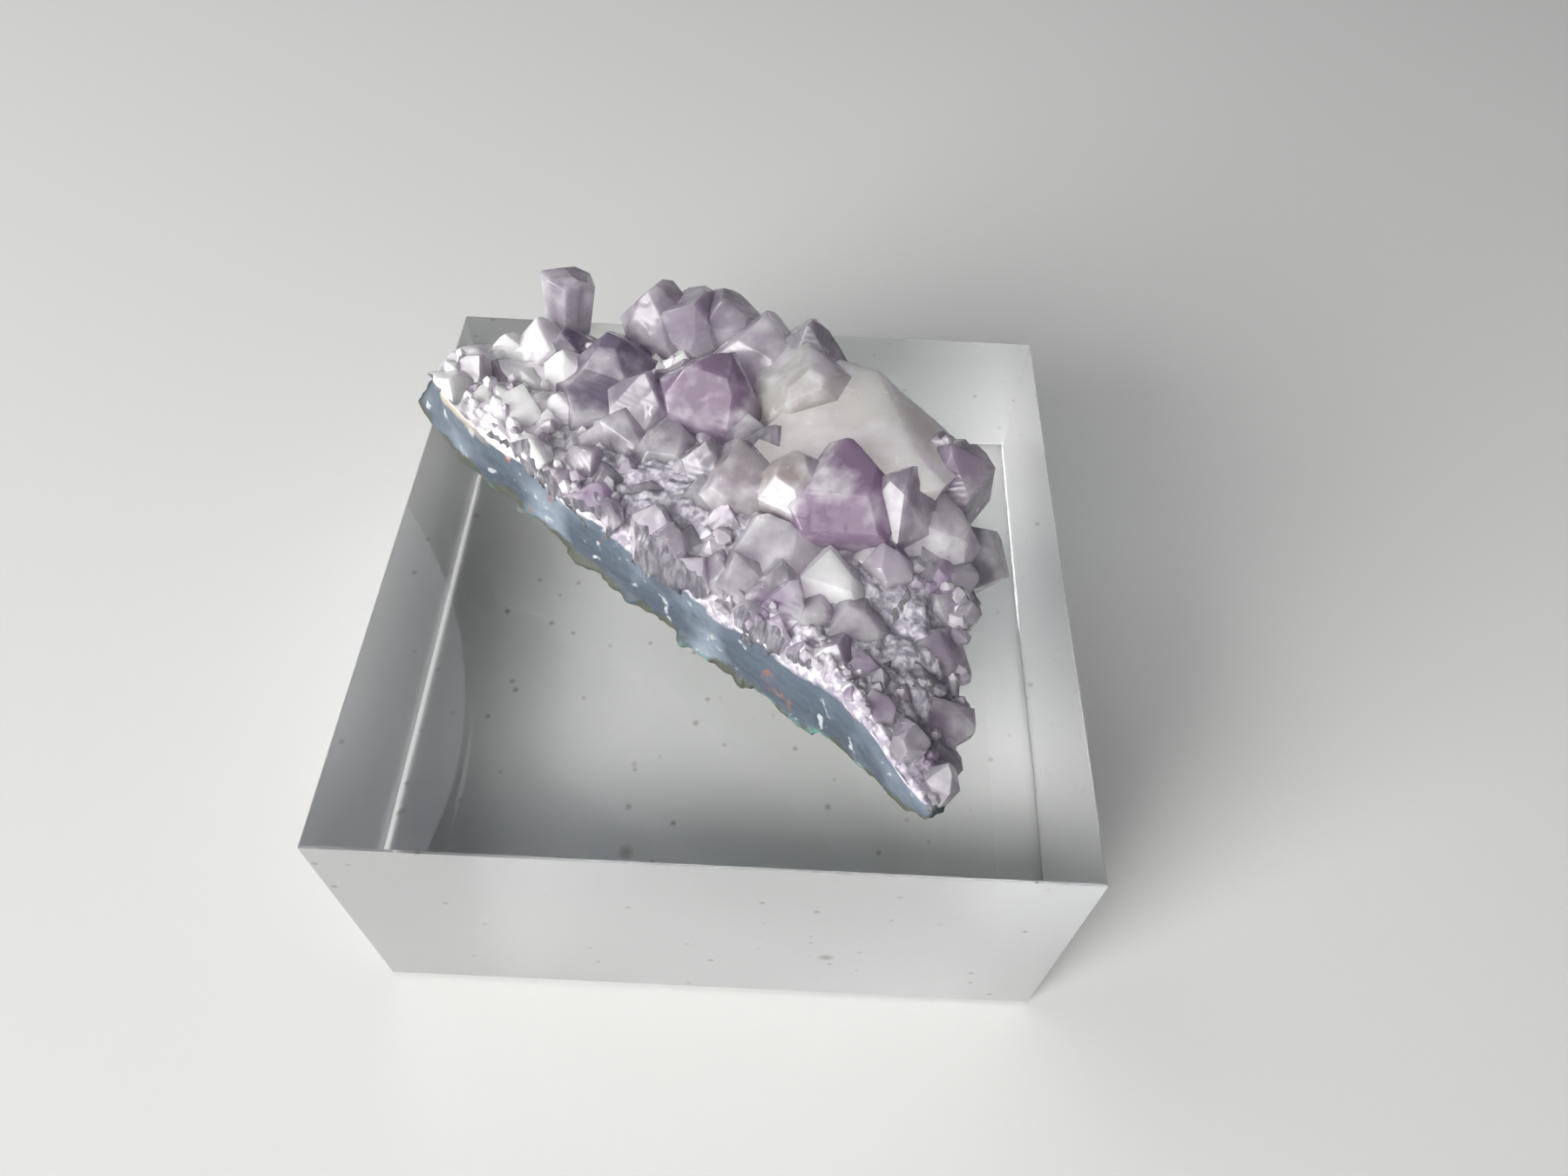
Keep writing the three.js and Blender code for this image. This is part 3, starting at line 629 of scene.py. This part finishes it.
def crystal_frame(crystal):
    """The axis from foot to tip, two directions across it, the second to the front, and the
    length from foot to tip."""
    axis = crystal.tip - crystal.foot
    length = np.linalg.norm(axis)
    axis = axis / length
    side = np.cross(TO_FRONT, axis)
    side /= np.linalg.norm(side)
    front = np.cross(side, axis)
    return axis, side, front, length


def corners_inside(normals, reaches):
    """Every point where three of the planes meet and that lies inside all the others."""
    triples = np.array(list(itertools.combinations(range(len(normals)), 3)))
    matrices = normals[triples]
    crossing = np.abs(np.linalg.det(matrices)) > 1e-6
    corners = np.linalg.solve(matrices[crossing], reaches[triples[crossing]][..., None])[..., 0]
    return corners[(corners @ normals.T <= reaches + 1e-6).all(axis=1)]


def crystal_shape(crystal):
    """The corners of the space inside a foot plane, six prism planes that open out from it, and
    six pyramid planes, every other one set lower so that its face is larger. Planes in random
    directions then take chips off it, and a broken tip is cut by one more plane that faces the
    front."""
    rng = np.random.default_rng(crystal.seed)
    radius, uneven = crystal.radius, crystal.unevenness
    axis, side, front, length = crystal_frame(crystal)
    apothem = radius * np.cos(np.pi / 6)
    shoulder = max(length - crystal.point * radius, LOWEST_SHOULDER * radius)
    bearing = np.radians(crystal.turn) + np.pi / 6 + np.arange(6) * np.pi / 3
    out = np.sin(bearing)[:, None] * side + np.cos(bearing)[:, None] * front
    prism = out - apothem * (1 - FOOT_SHARE) / shoulder * axis
    prism_reach = apothem * (FOOT_SHARE + uneven * rng.uniform(-PRISM_STRAY, PRISM_STRAY, 6))
    pyramid = axis + (length - shoulder) / apothem * out
    small, large = rng.uniform(*SMALL_FACE_SET_BACK, 6), rng.uniform(*LARGE_FACE_SET_BACK, 6)
    set_back = np.where(np.arange(6) % 2 == 0, small, large)
    pyramid_reach = length - uneven * radius * set_back
    normals = np.vstack([-axis, prism, pyramid])
    scale = np.linalg.norm(normals, axis=1)
    normals = normals / scale[:, None]
    reaches = np.concatenate([[0.0], prism_reach, pyramid_reach]) / scale
    around = rng.uniform(0, 2 * np.pi, len(crystal.chips))
    slope = rng.uniform(*CHIP_SLOPES, len(crystal.chips))
    cuts = [np.sin(a) * side + np.cos(a) * front + b * axis for a, b in zip(around, slope)]
    depths = [share * min(radius, CHIPPED_RADIUS) for share in crystal.chips]
    if crystal.broken_off > 0:
        cuts.append(axis + TO_FRONT)
        depths.append(crystal.broken_off)
    for cut, depth in zip(cuts, depths):
        cut = cut / np.linalg.norm(cut)
        corners = corners_inside(normals, reaches)
        normals = np.vstack([normals, cut])
        reaches = np.append(reaches, (corners @ cut).max() - depth)
    return corners_inside(normals, reaches) + crystal.foot


def face_layer(mesh, name, kind, values):
    """A named value for each face, for a material to read."""
    layer = mesh.attributes.new(name, kind, "FACE")
    key = {"FLOAT": "value", "FLOAT_VECTOR": "vector", "FLOAT_COLOR": "color"}[kind]
    layer.data.foreach_set(key, np.asarray(values, np.float32).ravel())


def mark_faces(piece, crystal, broken=0.0):
    """Writes a crystal's axis, tip, radius and colours to each face, and if it is a break."""
    count = len(piece.data.polygons)
    ends = on_stone(np.array([crystal.foot, crystal.tip]))
    axis = (ends[1] - ends[0]) / np.linalg.norm(ends[1] - ends[0])
    root_colour, tip_colour, clarity = crystal.colours
    face_layer(piece.data, "axis", "FLOAT_VECTOR", np.tile(axis, (count, 1)))
    face_layer(piece.data, "tip", "FLOAT_VECTOR", np.tile(ends[1], (count, 1)))
    face_layer(piece.data, "width", "FLOAT", np.full(count, crystal.radius * MM))
    face_layer(piece.data, "root_colour", "FLOAT_COLOR", np.tile(linear(root_colour), (count, 1)))
    face_layer(piece.data, "tip_colour", "FLOAT_COLOR", np.tile(linear(tip_colour), (count, 1)))
    face_layer(piece.data, "clarity", "FLOAT", np.full(count, clarity))
    face_layer(piece.data, "broken", "FLOAT", np.full(count, broken))


SAME_CORNER, FLAT_ANGLE = 0.002, 0.01


def crystal_object(name, crystal):
    """The convex hull of a crystal's corners, with one face for each of its planes."""
    piece = mesh_piece(name, on_stone(crystal_shape(crystal)), [])
    hull = bmesh.new()
    hull.from_mesh(piece.data)
    bmesh.ops.remove_doubles(hull, verts=hull.verts, dist=SAME_CORNER * MM)
    shell = bmesh.ops.convex_hull(hull, input=hull.verts)
    bmesh.ops.delete(hull, geom=shell["geom_interior"], context="VERTS")
    bmesh.ops.dissolve_limit(hull, angle_limit=FLAT_ANGLE, verts=hull.verts, edges=hull.edges)
    hull.to_mesh(piece.data)
    hull.free()
    mark_faces(piece, crystal)
    return piece


# The small and fine crystals are white left of this s, and greyish or lilac right of it.
WHITE_LEFT_OF = -9
WHITES = ("white", "white", "pale")
SMALL_COLOURS, FINE_COLOURS = ("grey", "pale", "lilac", "grey"), ("grey", "pale", "lilac", "milky")
LARGE_SEED, SMALL_SEED, FINE_SEED = 100, 1000, 5000


def large_crystal_objects():
    """The large crystals, each with its foot in the wall and with worn edges."""
    pieces = []
    for i, row in enumerate(LARGE_CRYSTALS):
        tip_s, tip_t, tip_h, foot_s, foot_t, radius, turn, colour, broken_off = row
        foot = np.array([foot_s, foot_t, wall_height(foot_s, foot_t) - FOOT_DEPTH])
        crystal = Crystal(foot, np.array([tip_s, tip_t, tip_h]), radius, turn, PALETTE[colour],
                          seed=LARGE_SEED + i, point=LOW_POINTS.get(i, POINT_HEIGHT),
                          chips=LARGE_CHIPS, broken_off=broken_off)
        piece = crystal_object(f"large_{i}", crystal)
        bevel = piece.modifiers.new("worn_edges", "BEVEL")
        bevel.width, bevel.segments = EDGE_WEAR * MM, 2
        pieces.append(piece)
    return pieces


def small_crystal_objects():
    """The small crystals, coloured by the side of the stone that they stand on."""
    pieces = []
    for i, (foot, tip, radius, turn, index) in enumerate(zip(*small_crystals())):
        colours = WHITES if foot[0] < WHITE_LEFT_OF else SMALL_COLOURS
        colour = colours[int(scatter(index, 8) * len(colours))]
        crystal = Crystal(foot, tip, radius, turn, PALETTE[colour],
                          seed=SMALL_SEED + int(index), chips=SMALL_CHIPS)
        pieces.append(crystal_object(f"small_{i}", crystal))
    return pieces


def fine_crystal_objects():
    """The fine crystals, coloured in turn by the side of the stone that they stand on."""
    pieces = []
    for i, (foot, tip, radius, turn) in enumerate(zip(*fine_crystals())):
        colours = WHITES if foot[0] < WHITE_LEFT_OF else FINE_COLOURS
        crystal = Crystal(foot, tip, radius, turn, PALETTE[colours[i % len(colours)]],
                          seed=FINE_SEED + i, unevenness=FINE_UNEVENNESS)
        pieces.append(crystal_object(f"fine_{i}", crystal))
    return pieces


# The space between the breaks: its ends along the rim, its bottom and top, and its steps.
SPACE_ALONG, SPACE_UP, SPACE_STEPS = (-28, 25), (-1, 30), (425, 94)
FRONT_BREAK_MARGIN = 0.35
# The height, size and seed of each break's roughness. The front also has splinters, which are
# finer along the rim and drawn out upright.
FRONT_ROUGHNESS = ((0.35, 2.2, 5), (0.15, 0.7, 6))
BACK_ROUGHNESS = ((0.3, 3.5, 7), (0.08, 0.9, 8))
SPLINTERS, SPLINTER_STRETCH = (0.15, 0.6, 9), (2.2, 1, 0.6)
# The broken faces are marked as those of one upright crystal in the middle.
BREAK_MARKS = Crystal(np.array([0, 10, 0]), np.array([0, 10, 16]), 5, 0, PALETTE["grey"])


def roughness(places, layers):
    """The sum of layers of value noise, each with a height, a size and a seed."""
    return sum(height * noise(places, size, seed) for height, size, seed in layers)


def space_between_breaks():
    """A block of space whose front follows the rim and whose back is straight. Both are
    roughened by value noise. It is a loop in the upright plane carried along the rim."""
    rim = OUTLINE[:RIM_CORNERS]
    s, h = np.meshgrid(np.linspace(*SPACE_ALONG, SPACE_STEPS[0]),
                       np.linspace(*SPACE_UP, SPACE_STEPS[1]), indexing="ij")
    places = np.stack([s, 0 * s, h], -1)
    front = np.interp(s, rim[:, 0], rim[:, 1]) + FRONT_BREAK_MARGIN
    front += roughness(places, FRONT_ROUGHNESS)
    front += roughness(places * SPLINTER_STRETCH, [SPLINTERS])
    back = BACK_BREAK + roughness(places, BACK_ROUGHNESS)
    loop_s = np.concatenate([s, s], axis=1)
    loop_t = np.concatenate([front, back[:, ::-1]], axis=1)
    loop_h = np.concatenate([h, h[:, ::-1]], axis=1)
    points = np.stack([loop_s, loop_t, loop_h], -1)
    rows, columns = loop_t.shape
    faces = [face[::-1] for face in grid_faces(rows, columns)]
    caps = [list(range(columns)), list(range(rows * columns - 1, (rows - 1) * columns - 1, -1))]
    space = mesh_piece("space", on_stone(points.reshape(-1, 3)), faces + caps)
    mark_faces(space, BREAK_MARKS, broken=1.0)
    return space


def joined(pieces, cutter, fine):
    """The union of the pieces, cut to the cutter, and joined with the fine ones."""
    whole = pieces[0]
    scene = bpy.context.scene.collection
    for name, others in (("pieces", pieces[1:]), ("fine", fine)):
        group = bpy.data.collections.new(name)
        scene.children.link(group)
        for piece in others:
            scene.objects.unlink(piece)
            group.objects.link(piece)
        union = whole.modifiers.new("union", "BOOLEAN")
        union.operation, union.solver = "UNION", "MANIFOLD"
        union.operand_type, union.collection = "COLLECTION", group
        if name == "pieces":
            cut = whole.modifiers.new("cut", "BOOLEAN")
            cut.operation, cut.solver, cut.object = "INTERSECT", "MANIFOLD", cutter
    bpy.context.view_layer.update()
    evaluated = whole.evaluated_get(bpy.context.evaluated_depsgraph_get())
    mesh = bpy.data.meshes.new_from_object(evaluated)
    whole.modifiers.clear()
    whole.data = mesh
    for piece in [*pieces[1:], *fine, cutter]:
        bpy.data.objects.remove(piece)
    for name in ("pieces", "fine"):
        bpy.data.collections.remove(bpy.data.collections[name])
    return whole


QUARTZ_IOR, QUARTZ_SPECULAR = 1.544, 0.3
QUARTZ_DEPTH_COLOUR, QUARTZ_DEPTH_DENSITY = "#cdbbd6", 20.0
# Milky quartz scatters light under its surface, over about one radius of the crystal, and a
# little less of the green.
MILKY_REACH = (1.0, 0.9, 1.0)
MILK_COLOUR, MILKY_LOSS = "#dcd8de", 0.3
# The colour changes from the tip's to the root's between these depths, in radii, and clouds
# move that border up or down.
TIP_TO_ROOT, BORDER_SWING = (1.0, 3.2), 1.6
ZONE_SIZE, BUBBLE_SIZE, STEPPED_SIZE = 3.85, 1.25, 5.26
BUBBLE_SHARE, ROOT_SHARE, MILKY_CLOUDS = 0.4, 0.1, (0.66, 0.92)
GLASSY, WORN, WORN_CLOUDS = 0.04, 0.3, (0.35, 0.7)
GROWTH_STEP, STEP_WOBBLE, STEP_HEIGHT, STEPPED_PATCHES = 0.35, 14.0, 0.03, (0.5, 0.62)
FACE_SWELL, BUBBLE_RELIEF = 0.7, 1.5
# Broken faces are splintered into upright fibres, this wide and drawn out by the last number.
FIBRE_COLOURS, FIBRE_WIDTH, FIBRE_DRAWN_OUT = ("#86828f", "#c2bfc6"), 0.385, 0.12
PALE_FIBRES = (0.42, 0.62)


def amethyst():
    """Grown quartz faces are glassy, with fine steps across the prism faces about 0.35 mm
    apart. The colour runs from the milky root to the lilac tip over about two widths, and
    clouds of fine bubbles and cracks make the inside milky in places."""
    material, tree = new_material("amethyst")
    place = add(tree, "TexCoord", {}).outputs["Object"]
    axis = add(tree, "Attribute", {}, attribute_name="axis").outputs["Vector"]
    tip = add(tree, "Attribute", {}, attribute_name="tip").outputs["Vector"]
    width = add(tree, "Attribute", {}, attribute_name="width").outputs["Fac"]
    root_colour = add(tree, "Attribute", {}, attribute_name="root_colour").outputs["Color"]
    tip_colour = add(tree, "Attribute", {}, attribute_name="tip_colour").outputs["Color"]
    clarity = add(tree, "Attribute", {}, attribute_name="clarity").outputs["Fac"]
    broken = add(tree, "Attribute", {}, attribute_name="broken").outputs["Fac"]
    below = add(tree, "VectorMath", {0: tip, 1: place}, operation="SUBTRACT").outputs[0]
    depth = add(tree, "VectorMath", {0: below, 1: axis}, operation="DOT_PRODUCT").outputs["Value"]
    widths = add(tree, "Math", {0: depth, 1: width}, operation="DIVIDE").outputs[0]
    cloud = add(tree, "TexNoise", {"Vector": place, "Scale": 1 / (ZONE_SIZE * MM),
                                   "Detail": 3.0}).outputs["Fac"]
    veil = add(tree, "TexNoise", {"Vector": place, "Scale": 1 / (BUBBLE_SIZE * MM),
                                  "Detail": 5.0}).outputs["Fac"]
    uneven = add(tree, "Math", {0: cloud, 1: BORDER_SWING, 2: widths},
                 operation="MULTIPLY_ADD").outputs[0]
    rooty = add(tree, "MapRange", {"Value": uneven, **between(TIP_TO_ROOT)}).outputs[0]
    zoned = add(tree, "Mix", {0: rooty, 6: tip_colour, 7: root_colour}, data_type="RGBA").outputs[2]
    mixed = add(tree, "Math", {0: veil, 1: BUBBLE_SHARE, 2: cloud},
                operation="MULTIPLY_ADD").outputs[0]
    deeper = add(tree, "Math", {0: rooty, 1: ROOT_SHARE, 2: mixed},
                 operation="MULTIPLY_ADD").outputs[0]
    milk = add(tree, "MapRange", {"Value": deeper, **between(MILKY_CLOUDS)}).outputs[0]
    grown = add(tree, "Mix", {0: milk, 6: zoned, 7: linear(MILK_COLOUR)},
                data_type="RGBA").outputs[2]
    upright = add(tree, "VectorMath", {0: place, 1: (1.0, 1.0, FIBRE_DRAWN_OUT)},
                  operation="MULTIPLY").outputs[0]
    fibre = add(tree, "TexNoise", {"Vector": upright, "Scale": 1 / (FIBRE_WIDTH * MM),
                                   "Detail": 3.0}).outputs["Fac"]
    bright = add(tree, "MapRange", {"Value": fibre, **between(PALE_FIBRES)}).outputs[0]
    fibres = add(tree, "Mix", {0: bright, 6: linear(FIBRE_COLOURS[0]), 7: linear(FIBRE_COLOURS[1])},
                 data_type="RGBA").outputs[2]
    colour = add(tree, "Mix", {0: broken, 6: grown, 7: fibres}, data_type="RGBA").outputs[2]
    loss = add(tree, "Math", {0: milk, 1: MILKY_LOSS}, operation="MULTIPLY").outputs[0]
    through = add(tree, "Math", {0: clarity, 1: loss}, operation="SUBTRACT",
                  use_clamp=True).outputs[0]
    rough = add(tree, "MapRange", {"Value": veil, **between(WORN_CLOUDS),
                                   "To Min": GLASSY, "To Max": WORN}).outputs[0]
    steps = add(tree, "Math", {0: depth, 1: 2 * np.pi / (GROWTH_STEP * MM)},
                operation="MULTIPLY").outputs[0]
    wobble = add(tree, "Math", {0: cloud, 1: STEP_WOBBLE, 2: steps},
                 operation="MULTIPLY_ADD").outputs[0]
    wave = add(tree, "Math", {0: wobble}, operation="SINE").outputs[0]
    where = add(tree, "TexNoise", {"Vector": place, "Scale": 1 / (STEPPED_SIZE * MM),
                                   "Detail": 1.0}).outputs["Fac"]
    stepped = add(tree, "MapRange", {"Value": where, **between(STEPPED_PATCHES)}).outputs[0]
    ridges = add(tree, "Math", {0: wave, 1: stepped}, operation="MULTIPLY").outputs[0]
    relief = add(tree, "Math", {0: veil, 1: BUBBLE_RELIEF, 2: ridges},
                 operation="MULTIPLY_ADD").outputs[0]
    swollen = add(tree, "Bump", {"Height": cloud, "Strength": 0.5,
                                 "Distance": FACE_SWELL * MM}).outputs["Normal"]
    facing = add(tree, "Bump", {"Height": relief, "Strength": 0.25, "Distance": STEP_HEIGHT * MM,
                                "Normal": swollen}).outputs["Normal"]
    shader = add(tree, "BsdfPrincipled", {
        "Base Color": colour, "Roughness": rough, "IOR": QUARTZ_IOR,
        "Specular IOR Level": QUARTZ_SPECULAR, "Subsurface Weight": 1.0,
        "Subsurface Radius": MILKY_REACH, "Subsurface Scale": width,
        "Transmission Weight": through, "Normal": facing})
    inside = add(tree, "VolumeAbsorption", {
        "Color": linear(QUARTZ_DEPTH_COLOUR), "Density": QUARTZ_DEPTH_DENSITY})
    add(tree, "OutputMaterial", {"Surface": shader.outputs[0], "Volume": inside.outputs[0]})
    return material


grown_together = large_crystal_objects() + small_crystal_objects()
quartz_crystals = joined(grown_together, space_between_breaks(), fine_crystal_objects())
quartz_crystals.name = "quartz_crystals"
dress(quartz_crystals, amethyst())
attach(quartz_crystals, "root")
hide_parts("amethyst_cluster")


# The floor is a plain pale board under the block. Three soft lamps at the front left stand for
# a window, and a weak one behind for the light of the room.

FLOOR_SIZE, FLOOR_GAP = 3.0, 0.0002
FLOOR_COLOUR, BOARD_ROUGHNESS = "#e0e0df", 0.8
SKY_COLOUR = "#dfe5ea"
SKY_STRENGTH = 0.06
# Each light's direction from the block, its distance and its disc's diameter in metres, its
# power in watts, and its colour.
LIGHTS = {
    "window_low": ((-0.64, -0.66, 0.40), 0.8, 0.5, 7.2, "#fffefc"),
    "room_behind": ((-0.55, 0.38, 0.74), 0.8, 0.5, 0.9, "#f4f7ff"),
    "window_front": ((-0.19, -0.72, 0.67), 0.8, 0.5, 1.9, "#fffefc"),
    "window_high": ((-0.45, -0.51, 0.73), 0.8, 0.5, 1.6, "#fffefc"),
}


def pale_board():
    """Painted board is even and matt."""
    material, tree = new_material("pale_board")
    shader = add(tree, "BsdfPrincipled", {
        "Base Color": linear(FLOOR_COLOUR), "Roughness": BOARD_ROUGHNESS})
    add(tree, "OutputMaterial", {"Surface": shader.outputs[0]})
    return material


half = FLOOR_SIZE / 2
corners = np.array([(-half, -half), (half, -half), (half, half), (-half, half)])
floor_points = np.insert(corners, 2, -FLOOR_GAP, axis=1)
floor = mesh_piece("floor", floor_points, [(0, 1, 2, 3)])
dress(floor, pale_board())

for name, (direction, distance, size, power, colour) in LIGHTS.items():
    light_data = bpy.data.lights.new(name, "AREA")
    light_data.shape, light_data.size, light_data.energy = "DISK", size, power
    light_data.color = linear(colour)[:3]
    light = bpy.data.objects.new(name, light_data)
    outwards = Vector(direction).normalized()
    light.location = outwards * distance
    light.rotation_euler = outwards.to_track_quat("Z", "Y").to_euler()
    bpy.context.scene.collection.objects.link(light)

sky = bpy.data.worlds.new("sky")
sky.use_nodes = True
background = sky.node_tree.nodes["Background"]
background.inputs["Color"].default_value = linear(SKY_COLOUR)
background.inputs["Strength"].default_value = SKY_STRENGTH
bpy.context.scene.world = sky
bpy.context.scene.view_settings.view_transform = "Standard"
bpy.context.scene.cycles.blur_glossy = 0.0
